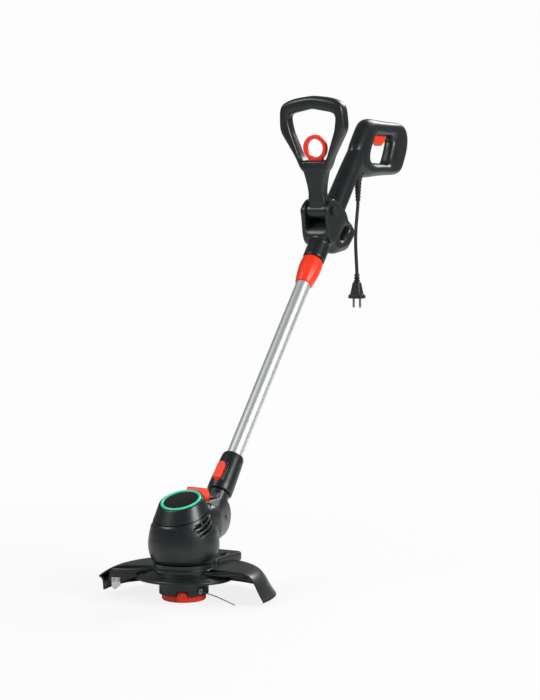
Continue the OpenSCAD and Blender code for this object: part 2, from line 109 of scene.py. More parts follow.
# camera
cameraSetup = {
    "azimuth": 30, "lookDown": 4, "lens": 102.9, "sensor": 36,
    "away": 3.3427,          # metres from the middle of the object's box
    "aside": -0.0405, "above": -0.0315,
}


def makeCamera(setup):
    data = bpy.data.cameras.new("camera")
    data.lens, data.sensor_width = setup["lens"], setup["sensor"]
    camera = bpy.data.objects.new("camera", data)
    bpy.context.scene.collection.objects.link(camera)
    turn, down = math.radians(setup["azimuth"]), math.radians(setup["lookDown"])
    back = Vector((math.sin(turn) * math.cos(down), -math.cos(turn) * math.cos(down), math.sin(down)))
    right = Vector((math.cos(turn), math.sin(turn), 0))
    above = back.cross(right)
    middle = (cadLow + cadHigh) / 2
    camera.location = middle + back * setup["away"] + right * setup["aside"] + above * setup["above"]
    camera.rotation_euler = (-back).to_track_quat("-Z", "Y").to_euler()
    bpy.context.scene.camera = camera


makeCamera(cameraSetup)
print("camera made")


# shader expressions
class Value:
    def __init__(self, finish, socket):
        self.finish, self.socket = finish, socket

    def math(self, operation, *values):
        return self.finish.node("ShaderNodeMath", {"operation": operation}, dict(enumerate(values)))

    def __add__(self, other):
        return self.math("ADD", self, other)

    def __radd__(self, other):
        return self.math("ADD", other, self)

    def __sub__(self, other):
        return self.math("SUBTRACT", self, other)

    def __rsub__(self, other):
        return self.math("SUBTRACT", other, self)

    def __mul__(self, other):
        return self.math("MULTIPLY", self, other)

    def __rmul__(self, other):
        return self.math("MULTIPLY", other, self)


class Finish:
    def __init__(self, name):
        self.material = bpy.data.materials.new(name)
        self.material.use_nodes = True
        self.tree = self.material.node_tree
        self.shader = self.tree.nodes["Principled BSDF"]

    def node(self, kind, settings=None, values=None, output=0):
        made = self.tree.nodes.new(kind)
        for name, value in (settings or {}).items():
            if name == "stops":
                ramp = made.color_ramp
                for spot, (place, shade) in enumerate(value):
                    stop = ramp.elements[spot] if spot < 2 else ramp.elements.new(place)
                    stop.position, stop.color = place, (shade, shade, shade, 1)
            else:
                setattr(made, name, value)
        for name, value in (values or {}).items():
            self.put(made.inputs[name], value)
        return Value(self, made.outputs[output])

    def put(self, socket, value):
        if isinstance(value, Value):
            self.tree.links.new(value.socket, socket)
        else:
            socket.default_value = value

    def shade(self, **values):
        for name, value in values.items():
            self.put(self.shader.inputs[name.replace("_", " ")], value)

    def place(self, turn=(0, 0, 0), stretch=(1, 1, 1)):
        spot = self.node("ShaderNodeTexCoord", output="Object")
        return self.node("ShaderNodeMapping", None, {"Vector": spot, "Rotation": turn, "Scale": stretch})

    def noise(self, where, size, detail=2.0, rough=0.5):
        return self.node("ShaderNodeTexNoise", None, {
            "Vector": where, "Scale": 1 / size, "Detail": detail, "Roughness": rough})

    def ramp(self, mask, *stops):
        return self.node("ShaderNodeValToRGB", {"stops": stops}, {"Fac": mask})

    def mix(self, mask, first, second):
        return self.node("ShaderNodeMix", {"data_type": "RGBA"}, {0: mask, 6: first, 7: second}, 2)

    def bump(self, height, depth, strength=1.0):
        normal = self.node("ShaderNodeBump", None, {
            "Height": height, "Distance": depth, "Strength": strength})
        self.shade(Normal=normal)


def paint(red, green, blue, gain=1.0):        # screen colour 0 to 255, made linear
    tone = np.array([red, green, blue]) / 255
    tone = np.where(tone < 0.04045, tone / 12.92, ((tone + 0.055) / 1.055) ** 2.4) * gain
    return (*tone.tolist(), 1)


def mouldedPlastic(name, body, lift, rough, grain, coat=0.0):
    # spark-eroded mould grain, slow changes of gloss and a few fine handling marks
    finish = Finish(name)
    where = finish.place()
    fine = finish.noise(where, grain, 3, 0.65)
    slow = finish.noise(where, 0.045, 3)
    drawn = finish.noise(finish.place((0.6, 0.3, 0.2), (1, 0.16, 1)), 0.0028, 4, 0.7)
    marks = finish.ramp(drawn, (0.66, 0), (0.74, 1))
    cloud = finish.ramp(slow, (0.35, 0), (0.65, 1))
    tone = finish.mix(cloud, paint(*body), paint(*body, lift))
    finish.shade(
        Base_Color=finish.mix(marks * 0.22, tone, paint(*body, lift * 2.1)),
        Roughness=rough + (slow - 0.5) * 0.16 + (fine - 0.5) * 0.12 - marks * 0.06,
        Coat_Weight=coat, Coat_Roughness=0.28, Specular_IOR_Level=0.5)
    finish.bump(fine + marks * 0.3, 0.00005, 0.3)
    return finish.material


def extrudedAluminium(name):
    # satin anodised tube: long die lines along the shaft over a fine blasted grain
    finish = Finish(name)
    lean = math.atan2(shaftUp[1], shaftUp[2])
    along = finish.place((lean, 0, 0), (1, 1, 0.006))
    lines = finish.noise(along, 0.0006, 4, 0.7)
    wide = finish.noise(along, 0.004, 2)
    grain = finish.noise(finish.place(), 0.0003, 2)
    finish.shade(
        Base_Color=finish.mix(lines * 0.6 + wide * 0.4, paint(200, 205, 207), paint(232, 235, 236)),
        Metallic=0.85, Roughness=0.42 + (lines - 0.5) * 0.16 + (grain - 0.5) * 0.1)
    finish.bump(lines + grain * 0.4, 0.00003, 0.4)
    return finish.material


def groundSteel(name, dark, light, rough, stretch):
    finish = Finish(name)
    lines = finish.noise(finish.place((0.2, 0.1, 0), stretch), 0.0005, 4, 0.7)
    stain = finish.noise(finish.place(), 0.006, 3)
    finish.shade(
        Base_Color=finish.mix(lines * 0.5 + stain * 0.5, paint(*dark), paint(*light)),
        Metallic=1.0, Roughness=rough + (stain - 0.5) * 0.2 + (lines - 0.5) * 0.1)
    finish.bump(lines, 0.00003, 0.5)
    return finish.material


def enamelledCopper(name):
    finish = Finish(name)
    turns = finish.node("ShaderNodeTexWave", {"wave_type": "BANDS", "bands_direction": "Z"}, {
        "Vector": finish.place(), "Scale": 330.0, "Distortion": 0.6, "Detail": 1.0})
    finish.shade(
        Base_Color=finish.mix(turns * 1.0, paint(120, 52, 22), paint(214, 118, 62)),
        Metallic=1.0, Roughness=0.3 + turns * 0.12, Coat_Weight=0.5, Coat_Roughness=0.15)
    finish.bump(turns, 0.0002, 0.6)
    return finish.material


def glossBlack(name):
    # clear-coated disc with a faint tint change and a few dust specks
    finish = Finish(name)
    where = finish.place()
    slow = finish.noise(where, 0.02, 2)
    dust = finish.ramp(finish.noise(where, 0.0009, 1), (0.76, 0), (0.8, 1))
    tone = finish.mix(slow * 1.0, paint(2, 3, 4), paint(6, 8, 9))
    finish.shade(
        Base_Color=finish.mix(dust * 0.25, tone, paint(120, 128, 128)),
        Roughness=0.22 + dust * 0.25 + (slow - 0.5) * 0.05, Coat_Weight=0.3, Coat_Roughness=0.04,
        Specular_IOR_Level=0.3)
    finish.bump(dust, 0.00002, 0.3)
    return finish.material


def softRubber(name):
    # extruded PVC: matt skin with lengthwise drag lines
    finish = Finish(name)
    lines = finish.noise(finish.place((0, 0, 0), (1, 1, 0.05)), 0.0007, 3, 0.6)
    slow = finish.noise(finish.place(), 0.012, 2)
    finish.shade(
        Base_Color=finish.mix(slow * 1.0, paint(17, 20, 21), paint(28, 32, 33)),
        Roughness=0.5 + (lines - 0.5) * 0.2 + (slow - 0.5) * 0.1, Specular_IOR_Level=0.4)
    finish.bump(lines, 0.00008, 0.4)
    return finish.material


def nylonLine(name):
    finish = Finish(name)
    rings = finish.noise(finish.place((0, 0, 0), (0.2, 1, 1)), 0.001, 2)
    finish.shade(
        Base_Color=finish.mix(rings * 1.0, paint(84, 89, 90), paint(132, 137, 138)),
        Roughness=0.32 + rings * 0.15, Coat_Weight=0.3)
    finish.bump(rings, 0.00005, 0.3)
    return finish.material


finishes = {
    "charcoal_plastic": mouldedPlastic("charcoalPlastic", (18, 24, 25), 1.3, 0.33, 0.00075),
    "orange_plastic": mouldedPlastic("orangePlastic", (250, 50, 8), 1.06, 0.38, 0.0006, 0.08),
    "turquoise_plastic": mouldedPlastic("turquoisePlastic", (66, 222, 178), 1.05, 0.3, 0.0005, 0.3),
    "badge_black": glossBlack("badgeGloss"),
    "black_plastic": mouldedPlastic("blackPlastic", (15, 18, 19), 1.3, 0.44, 0.0008),
    "tube_aluminium": extrudedAluminium("anodisedTube"),
    "steel": groundSteel("turnedSteel", (128, 130, 133), (196, 198, 200), 0.32, (1, 1, 0.1)),
    "blade_steel": groundSteel("bladeSteel", (168, 170, 174), (226, 228, 230), 0.24, (1, 1, 0.05)),
    "copper": enamelledCopper("windingCopper"),
    "cord_rubber": softRubber("cordRubber"),
    "nylon_line": nylonLine("nylonLine"),
}
for part in frame["record"]["subparts"]:
    mesh = nodes[part["node"]].data
    mesh.materials.clear()
    mesh.materials.append(finishes[part["material_slot"]])
print("finishes made:", len(finishes))


# surfaces on a grid
def surface(points, closeRows=False, closeColumns=True, caps="fan"):
    return {"points": points, "closeRows": closeRows, "closeColumns": closeColumns, "caps": caps}


def gridFaces(part, first):
    # each square of the grid is a face; an end ring is closed by a fan to its middle or by a strip across
    rows, columns = part["points"].shape[:2]
    index = first + np.arange(rows * columns).reshape(rows, columns)
    if part["closeRows"]:
        index = np.vstack([index, index[:1]])
    net = np.hstack([index, index[:, :1]]) if part["closeColumns"] else index
    squares = np.stack([net[:-1, :-1], net[:-1, 1:], net[1:, 1:], net[1:, :-1]], -1).reshape(-1, 4)
    faces = squares.tolist()
    extra = []
    if part["closeRows"] or not part["closeColumns"]:
        return faces, extra
    for ring, row in ((index[0], part["points"][0]), (index[-1], part["points"][-1])):
        if part["caps"] == "fan":
            middle = first + rows * columns + len(extra)
            extra.append(row.mean(0))
            faces += np.stack([ring, np.roll(ring, -1), np.full(columns, middle)], -1).tolist()
        if part["caps"] == "strip":
            half, back = ring[:columns // 2], ring[::-1][:columns // 2]
            faces += np.stack([half[:-1], half[1:], back[1:], back[:-1]], -1).tolist()
    return faces, extra


def meshOf(name, parts):
    points, faces, count = [], [], 0
    for part in parts:
        made, extra = gridFaces(part, count)
        block = np.vstack([part["points"].reshape(-1, 3), *[np.array(extra)] * bool(extra)])
        points.append(block)
        faces += made
        count += len(block)
    mesh = bpy.data.meshes.new(name)
    mesh.from_pydata(np.vstack(points).tolist(), [], faces)
    work = bmesh.new()
    work.from_mesh(mesh)
    bmesh.ops.recalc_face_normals(work, faces=work.faces)
    work.to_mesh(mesh)
    work.free()
    piece = bpy.data.objects.new(name, mesh)
    bpy.context.scene.collection.objects.link(piece)
    return piece


def settle(piece):                    # works the modifiers into the mesh
    graph = bpy.context.evaluated_depsgraph_get()
    made = bpy.data.meshes.new_from_object(piece.evaluated_get(graph))
    piece.modifiers.clear()
    piece.data = made


def moulded(piece, voxel, relax):
    # one skin round all the surfaces, made in even voxels, whose inner corners flow together
    skin = piece.modifiers.new("skin", "REMESH")
    skin.mode, skin.voxel_size = "VOXEL", voxel * mm
    settle(piece)
    flow = piece.modifiers.new("flow", "SMOOTH")
    flow.factor, flow.iterations = 0.5, relax
    settle(piece)
    return piece


def ready(piece, body, slotName, *stands, sharp=None):
    piece.data.materials.clear()
    piece.data.materials.append(finishes[slotName])
    piece.data.polygons.foreach_set("use_smooth", np.ones(len(piece.data.polygons), bool))
    if sharp:
        piece.data.set_sharp_from_angle(angle=math.radians(sharp))
    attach(piece, body)
    if stands:
        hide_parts(*stands)
    return piece


def wave(angle, power):               # cosine and sine raised to a power: 1 is round, near 0 is boxy
    across, along = np.cos(angle), np.sin(angle)
    return np.sign(across) * np.abs(across) ** power, np.sign(along) * np.abs(along) ** power


def around(count, start=0.0):
    return start + np.arange(count) * 2 * math.pi / count


def blurred(radii, soften):           # weighted mean along the ring, soften in samples
    reach = np.arange(-3 * int(soften + 1), 3 * int(soften + 1) + 1)
    weights = np.exp(-0.5 * (reach / soften) ** 2)
    shifted = np.stack([np.roll(radii, int(step)) for step in reach])
    return (weights[:, None] * shifted).sum(0) / weights.sum()


def starLine(corners, middle, count=180, soften=3.0):
    # from the middle, the distance along each even angle to the straight-sided outline through
    # the corners, blurred round the ring so that the corners come out rounded
    corners, middle = np.array(corners, float), np.array(middle, float)
    first, second = corners - middle, np.roll(corners, -1, 0) - middle
    side = second - first
    angle = around(count)
    ray = np.stack([np.cos(angle), np.sin(angle)], -1)
    cross = ray[:, None, 0] * side[None, :, 1] - ray[:, None, 1] * side[None, :, 0]
    cross = np.where(np.abs(cross) < 1e-9, 1e-9, cross)
    reach = (first[:, 0] * side[:, 1] - first[:, 1] * side[:, 0])[None] / cross
    share = (first[None, :, 0] * ray[:, None, 1] - first[None, :, 1] * ray[:, None, 0]) / cross
    hits = np.where((reach > 0) & (share > -1e-6) & (share < 1 + 1e-6), reach, 0)
    radii = blurred(hits.max(1), soften)
    return middle + ray * radii[:, None]


def ringGrid(inside, outside, halfWidth, power, count=36):
    # at each station the section is a superellipse from the inner line to the outer line
    powers = np.broadcast_to(np.reshape(power, (-1, 1)), (len(inside), 1))
    across, along = wave(around(count, 0.01)[None], powers)
    share = (0.5 + 0.5 * across)[..., None]
    flat = inside[:, None] * (1 - share) + outside[:, None] * share
    width = np.reshape(halfWidth, (-1, 1)) * along
    return flat[..., 0], flat[..., 1], width


def pebbleGrid(outline, middle, halfWidth, power, rows=22):
    # a plate whose outline draws in towards its two faces as a superellipse does
    tilt = np.linspace(-0.5, 0.5, rows) * math.pi * 0.97
    inward, across = wave(tilt, power)
    flat = np.array(middle) + (outline - np.array(middle))[None] * inward[:, None, None]
    return flat[..., 0], flat[..., 1], np.broadcast_to(across[:, None] * halfWidth, flat.shape[:2])


def lidPart(corners, middle, rows, place, soften=3.0):
    # a lid: the outline drawn in to each row's share, at each row's height
    outline = starLine(corners, middle, soften=soften)
    share, height = np.array(rows).T
    flat = np.array(middle) + (outline - np.array(middle))[None] * share[:, None, None]
    return surface(place(flat[..., 0], flat[..., 1], np.broadcast_to(height[:, None], flat.shape[:2])))


def revolveGrid(radii, heights, count=96, start=0.0):
    angle = around(count, start)
    radii, heights = np.asarray(radii, float), np.asarray(heights, float)
    return (radii[:, None] * np.cos(angle), radii[:, None] * np.sin(angle),
            np.broadcast_to(heights[:, None], (len(radii), count)))


def smoothLine(points, count):
    # curve through the points: each stretch is a cubic whose ends lean along their neighbours
    points = np.array(points, float)
    lead = np.vstack([2 * points[0] - points[1], points, 2 * points[-1] - points[-2]])
    where = np.linspace(0, len(points) - 1, count)
    spot = np.minimum(where.astype(int), len(points) - 2)
    share = (where - spot)[:, None]
    before, here, there, after = (lead[spot + step] for step in range(4))
    return 0.5 * (2 * here + (there - before) * share
                  + (2 * before - 5 * here + 4 * there - after) * share ** 2
                  + (3 * here - before - 3 * there + after) * share ** 3)


def tubeGrid(path, radius, count=16):
    # rings square to the path, whose first spoke stays as near sideways as it can
    ahead = np.gradient(path, axis=0)
    ahead /= np.linalg.norm(ahead, axis=1)[:, None]
    spoke = np.cross(ahead, [1.0, 0.02, 0.03])
    spoke /= np.linalg.norm(spoke, axis=1)[:, None]
    other = np.cross(ahead, spoke)
    angle = around(count)
    return path[:, None] + radius * (np.cos(angle)[None, :, None] * spoke[:, None]
                                     + np.sin(angle)[None, :, None] * other[:, None])


# cords
mainsLead = {
    "route": [
        (0, 574, 612), (0, 573.5, 604), (0, 572, 594), (0, 570, 583), (0, 568, 572), (0, 566.5, 561),
        (0, 565.7, 550), (0, 565.7, 539), (0, 566.3, 528), (0, 567.4, 517), (0, 568.7, 506),
        (0, 570, 495), (0, 571, 484)],
    "diameter": 6, "length": 0.1287,
}
cuttingLine = {
    "route": [
        (33, -11, 17), (38, -12, 17), (44, -14, 16.8), (52, -16, 16.2), (61, -17, 15), (70, -17, 13),
        (79, -17, 10.4), (87, -16, 7.6), (94, -15, 5), (100, -14, 2.6)],
    "diameter": 1.6, "length": 0.0706,
}
strainRelief = {"top": (0, 574, 656), "length": 44, "ribs": 7}
plug = {"top": (0, 571, 484), "neck": 15, "cone": 37, "flange": 44}


def pathLength(path):
    return float(np.linalg.norm(np.diff(path, axis=0), axis=1).sum())


def makeStrainRelief(facts):
    # tapered sleeve turned round the upright exit: round ribs with gaps between them
    down = np.linspace(0, facts["length"], 120)
    taper = 6.9 - 2.6 * down / facts["length"]
    ribbed = taper - 0.85 * (np.sin(down / facts["length"] * facts["ribs"] * 2 * math.pi) > 0.2) * (down > 5)
    radii = np.concatenate([[6.0, 8.0, 8.2, 8.2, 7.8], ribbed[6:], [3.1]])
    heights = np.concatenate([[6, 0.6, 0.2, -3, -3.6], -4 - down[6:] * 0.909, [-facts["length"]]])
    x, y, z = revolveGrid(radii, heights, 48)
    top = facts["top"]
    piece = meshOf("strainRelief", [surface(level(x + top[0], y + top[1], z + top[2]))])
    return ready(piece, "rear_handle", "cord_rubber", "cord_grommet", sharp=35)


def makePlugBody(facts):
    # sections from round to box down the plug: ribbed neck, flared cone and a finger flange
    down = np.array([0, 1.5, 2, 4.4, 4.9, 6, 6.5, 9, 9.5, 10.5, 11, 13.6, 14.1, 15, 16, 22, 29, 36,
                     37, 37.4, 38.6, 42.8, 43.8, 44])
    deep = np.array([3.4, 4.4, 4.6, 4.6, 3.7, 3.7, 5, 5, 3.9, 3.9, 5.4, 5.4, 4.2, 6.4, 7.4, 8.2, 9.1, 9.8,
                     9.9, 10.4, 10.9, 10.9, 10.3, 9.2])
    wide = np.array([3.4, 4.4, 4.6, 4.6, 3.7, 3.7, 5, 5, 3.9, 3.9, 5.4, 5.4, 4.2, 6.4, 7.6, 8.6, 9.6, 10.6,
                     11.2, 13.2, 13.9, 13.9, 13.2, 12])
    power = np.interp(down, [0, 15, 24, 38, 44], [1, 1, 0.8, 0.45, 0.45])
    angle = around(64, 0.01)
    shape = np.array([wave(angle, p) for p in power])
    top = facts["top"]
    points = level(shape[:, 0] * wide[:, None] + top[0], shape[:, 1] * deep[:, None] + top[1],
                   np.broadcast_to(top[2] - down[:, None], shape[:, 0].shape))
    piece = meshOf("plugBody", [surface(points)])
    return ready(piece, "rear_handle", "cord_rubber", "plug_body", sharp=30)


def makeCord(name, facts, body, slotName, node, pieces, count):
    path = smoothLine(np.array(facts["route"]) * mm, count)
    piece = meshOf(name, [surface(tubeGrid(path, facts["diameter"] / 2 * mm))])
    ready(piece, body, slotName, node)
    print(name, "runs", round(pathLength(path), 4), "m")


makeCord("mainsLead", mainsLead, "rear_handle", "cord_rubber", "power_cord",
         [makeStrainRelief(strainRelief), makePlugBody(plug), nodes["plug_blades"]], 120)
makeCord("cuttingLine", cuttingLine, "rotor", "nylon_line", "cutting_line", [], 80)
print("cords made")


# rear handle
# the loop is widest and roundest where it leaves the neck, and slimmer and boxier at its far end
towardsBack = np.cos(around(180))
rearLoop = {
    "middle": (652, 704), "halfWidth": 15.8 - 1.4 * towardsBack, "boxiness": 0.83 - 0.14 * towardsBack,
    "hole": [(599, 682), (674, 678), (698, 728), (622, 725)],
    "outside": [(540, 692), (592, 757), (752, 751), (758, 716), (727, 662), (566, 653)],
}
cordHook = {
    "middle": (44.3, 729.5), "halfWidth": 13, "boxiness": 0.95,
    "hole": [(37, 714), (45.6, 714), (51.6, 745), (43, 745)],
    "outside": [(8, 770), (36, 754), (79, 760), (74, 714), (34, 672), (8, 684)],
}
handleEars = {
    "middle": (-28, 703), "halfWidth": 4, "boxiness": 0.28, "side": 23,
    "outline": [(6, 664), (-12, 664), (-57, 700), (-51, 727), (-12, 738), (6, 738)],
}
handleNeck = {
    "radii": [0.4, 15.5, 15.5, 15.9, 17.4, 18.6, 19, 19, 18.8, 18.2, 17.4, 16, 13.5, 9, 3],
    "along": [853, 853, 634, 631.9, 631.5, 632.2, 634.5, 740, 790, 825, 855, 885, 905, 920, 926],
}


def ringPart(facts, place, soften=4.0):
    inside = starLine(facts["hole"], facts["middle"], soften=soften)
    outside = starLine(facts["outside"], facts["middle"], soften=soften)
    return surface(place(*ringGrid(inside, outside, facts["halfWidth"], facts["boxiness"])), closeRows=True)


def platePart(facts, place, side=0.0, soften=5.0):
    outline = starLine(facts["outline"], facts["middle"], soften=soften)
    first, second, width = pebbleGrid(outline, facts["middle"], facts["halfWidth"], facts["boxiness"])
    return surface(place(first, second, width + side))


def turnedPart(radii, along, place, count=96):
    first, second, height = revolveGrid(radii, along, count)
    return surface(place(first, height, second))


def halfOf(piece, name, point, outward):
    # the part of a closed skin behind a plane, closed again along the cut
    half = bpy.data.objects.new(name, piece.data.copy())
    bpy.context.scene.collection.objects.link(half)
    work = bmesh.new()
    work.from_mesh(half.data)
    everything = work.verts[:] + work.edges[:] + work.faces[:]
    bmesh.ops.bisect_plane(work, geom=everything, dist=1e-7, plane_co=point, plane_no=outward,
                           clear_outer=True)
    rim = [edge for edge in work.edges if edge.is_boundary]
    bmesh.ops.triangle_fill(work, edges=rim, use_beauty=True, use_dissolve=False)
    bmesh.ops.recalc_face_normals(work, faces=work.faces)
    work.to_mesh(half.data)
    work.free()
    return half


def makeRearHandle():
    saddle = {"middle": (-12, 700), "halfWidth": 22, "boxiness": 0.3,
              "outline": [(-23, 668), (-23, 733), (0, 742), (8, 700), (0, 660)]}
    seat = {"radii": [2, 10.5, 11.5, 11.5, 8], "along": [655.6, 655.6, 657, 668, 674]}
    parts = [
        ringPart(rearLoop, upright),
        turnedPart(handleNeck["radii"], handleNeck["along"], onShaft),
        ringPart(cordHook, onShaft, 4.5),
        platePart(saddle, onShaft),
        turnedPart(seat["radii"], seat["along"], lambda y, z, x: upright(y + 574, z, x)),
    ]
    parts += [platePart(handleEars, onShaft, side * handleEars["side"]) for side in (-1, 1)]
    whole = moulded(meshOf("rearHandle", parts), 1.2, 9)
    # the tube's bore is cut again after the skin has filled it
    cutter = meshOf("boreCutter", [turnedPart([15.5, 15.5], [625, 852], onShaft, 72)])
    bore = whole.modifiers.new("bore", "BOOLEAN")
    bore.operation, bore.solver, bore.object = "DIFFERENCE", "FAST", cutter
    settle(whole)
    bpy.data.objects.remove(cutter)
    for name, node, side in (("rearShellLeft", "rear_handle_left", 1),
                             ("rearShellRight", "rear_handle_right", -1)):
        half = halfOf(whole, name, (side * 0.1 * mm, 0, 0), (-side, 0, 0))
        ready(half, "rear_handle", "charcoal_plastic", node, sharp=50)
    bpy.data.objects.remove(whole)


makeRearHandle()
print("rear handle made")

# front handle
frontLoop = {
    "middle": (0, 135), "halfWidth": 12.5, "boxiness": 0.66,
    "hole": [(-22, 84), (22, 84), (41, 136), (46, 164), (0, 173), (-46, 164), (-41, 136)],
    "outside": [(-25, 64), (25, 64), (31, 86), (63, 138), (60, 182), (34, 191), (0, 195), (-34, 191),
                (-60, 182), (-63, 138), (-31, 86)],
}
frontStem = {
    "up": [2, 9, 20, 32, 45, 60, 74, 84, 86],
    "halfWide": [16, 17.4, 16.2, 15.2, 17, 20.6, 25, 28, 24],
    "halfDeep": [9, 11, 11.6, 11.6, 11.8, 12.2, 12.4, 12.2, 9],
}


def makeFrontHandle():
    # the stem's sections are superellipses whose half sizes follow the two lists
    up = np.linspace(frontStem["up"][0], frontStem["up"][-1], 60)
    wide = np.interp(up, frontStem["up"], frontStem["halfWide"])
    deep = np.interp(up, frontStem["up"], frontStem["halfDeep"])
    across, along = wave(around(64, 0.01), 0.55)
    stem = onFrontHandle(wide[:, None] * across, np.broadcast_to(up[:, None], (60, 64)),
                         deep[:, None] * along)
    drumRadii = [0.5, 11, 12, 12.5, 12.5, 12, 11, 0.5]
    drumAlong = [-18.5, -18.5, -18.2, -17.5, 17.5, 18.2, 18.5, 18.5]
    parts = [
        ringPart(frontLoop, onFrontHandle, 3.0),
        surface(stem),
        turnedPart(drumRadii, drumAlong, lambda y, x, z: upright(y, z, x) + handlePivot),
    ]
    piece = moulded(meshOf("frontHandleSkin", parts), 0.95, 5)
    return ready(piece, "front_handle", "charcoal_plastic", "front_handle", sharp=55)


releaseRing = {"height": 107, "middle": 18.8, "halfWide": 3.6, "halfDeep": 4.5, "round": 0.55}


def makeReleaseRing():
    # a round ring of superellipse section, on a rounded foot, with the rod and its collar below
    facts = releaseRing
    across, along = wave(around(28, 0.01), facts["round"])
    turn = around(120)[:, None]
    reach = facts["middle"] + facts["halfWide"] * across[None]
    depth = np.broadcast_to(facts["halfDeep"] * along[None], (120, 28))
    ring = onFrontHandle(reach * np.sin(turn), facts["height"] + reach * np.cos(turn), depth)
    foot = {"middle": (0, 87.3), "halfWidth": 4.4, "boxiness": 0.3,
            "outline": [(-14, 84.6), (14, 84.6), (14, 90), (8, 91), (0, 88.6), (-8, 91), (-14, 90)]}
    rod = turnedPart([0.3, 2.5, 2.5, 4.4, 4.8, 4.8, 4.4, 2.5, 2.5, 0.3],
                     [23, 23, 60.3, 60.3, 60.6, 62, 62.3, 62.3, 88, 88], onFrontHandle, 40)
    piece = meshOf("ringShell", [
        surface(ring, closeRows=True), platePart(foot, onFrontHandle, soften=1.5), rod])
    return ready(piece, "release_ring", "orange_plastic", "release_ring", sharp=45)


makeFrontHandle()
makeReleaseRing()
print("front handle made")


# skins over CAD pieces
def skinOf(name, voxel, relax, *copied, more=None):
    # merged copies of CAD pieces remade in even voxels, so that every edge is slightly rounded
    piece = bpy.data.objects.new(name, bpy.data.meshes.new(name))
    bpy.context.scene.collection.objects.link(piece)
    work = bmesh.new()
    for node in copied:
        work.from_mesh(nodes[node].data)
    if more:
        more(work)
    bmesh.ops.remove_doubles(work, verts=work.verts, dist=2e-6)
    work.to_mesh(piece.data)
    work.free()
    return moulded(piece, voxel, relax)


roundedPieces = [
    # CAD node, piece, body, finish, voxel in mm, rounds of smoothing
    ("tube_socket", "socketShell", "shaft", "charcoal_plastic", 0.9, 2),
    ("swivel_neck", "neckShell", "swivel_neck", "charcoal_plastic", 0.9, 2),
    ("tilt_pedal", "pedalShell", "tilt_pedal", "orange_plastic", 0.6, 3),
    ("trigger", "triggerShell", "trigger", "orange_plastic", 0.6, 3),
    ("swivel_button", "buttonShell", "swivel_button", "orange_plastic", 0.4, 3),
    ("spool_carrier", "carrierShell", "rotor", "charcoal_plastic", 0.8, 2),
]
for node, name, body, slotName, voxel, relax in roundedPieces:
    ready(skinOf(name, voxel, relax, node), body, slotName, node, sharp=60)
print("skins made:", len(roundedPieces))


# motor head
headSeam = {"low": (0, -48, 119), "slope": 0.35, "groove": 1.2}
shoulder = {
    "middle": (26, 112),
    "outline": [(-6, 66), (36, 78), (56, 94), (61, 116), (54, 137), (34, 148), (-6, 144)],
    "rows": [(1, 19.5), (0.99, 25), (0.96, 30), (0.9, 34.5), (0.8, 38.5), (0.66, 41.5), (0.46, 43.6),
             (0.24, 44.6), (0.02, 45)],
}
vents = {"count": 3, "front": (-13, 124), "step": (3, -6), "slope": 0.445, "laterSlope": 0.26, "bend": 4,
         "from": -32, "to": 12, "halfWide": 1.0, "depth": 3.0, "fromMiddle": 36}


def ventDepth(y, z):
    # each vent is a band about a bent line; the depth falls off smoothly over its last millimetre
    depth = np.zeros_like(y)
    for number in range(vents["count"]):
        startY, startZ = np.array(vents["front"]) + number * np.array(vents["step"])
        line = startZ + vents["slope"] * (np.minimum(y, vents["bend"]) - startY)
        line += vents["laterSlope"] * np.maximum(y - vents["bend"], 0)
        inside = (y > vents["from"] + 3 * number) & (y < vents["to"] - 5 * number)
        share = np.clip((vents["halfWide"] + 0.5 - np.abs(z - line)) / 0.9, 0, 1)
        depth = np.maximum(depth, share * inside * vents["depth"])
    return depth


def addShoulders(work):
    # a lid on each flank, whose outline draws in as it rises, fills the way from barrel to knuckle
    for side in (-1, 1):
        lid = lidPart(shoulder["outline"], shoulder["middle"], shoulder["rows"],
                      lambda y, z, rise: level(side * rise, y, z), soften=6)
        piece = meshOf("flank", [lid])
        work.from_mesh(piece.data)
        bpy.data.objects.remove(piece)


def makeHead():
    # housing and cap share one skin, cut by the leaning plane z = low + slope * y into two pieces
    whole = skinOf("headSkin", 1.2, 4, "motor_housing", "top_cap", more=addShoulders)
    points = np.empty(len(whole.data.vertices) * 3)
    whole.data.vertices.foreach_get("co", points)
    points = points.reshape(-1, 3)
    x, y, z = points.T / mm
    sink = ventDepth(y, z) * (np.abs(x) > vents["fromMiddle"])     # presses the vents into both flanks
    points[:, 0] -= np.sign(x) * sink * mm
    whole.data.vertices.foreach_set("co", points.ravel())
    up = np.array([0, -headSeam["slope"], 1]) / math.hypot(headSeam["slope"], 1)
    for name, node, side in (("housingShell", "motor_housing", 1), ("capShell", "top_cap", -1)):
        point = (np.array(headSeam["low"]) - side * up * headSeam["groove"] / 2) * mm
        piece = halfOf(whole, name, point.tolist(), (side * up).tolist())
        ready(piece, "motor_head", "charcoal_plastic", node, sharp=50)
    bpy.data.objects.remove(whole)


makeHead()
print("head made")


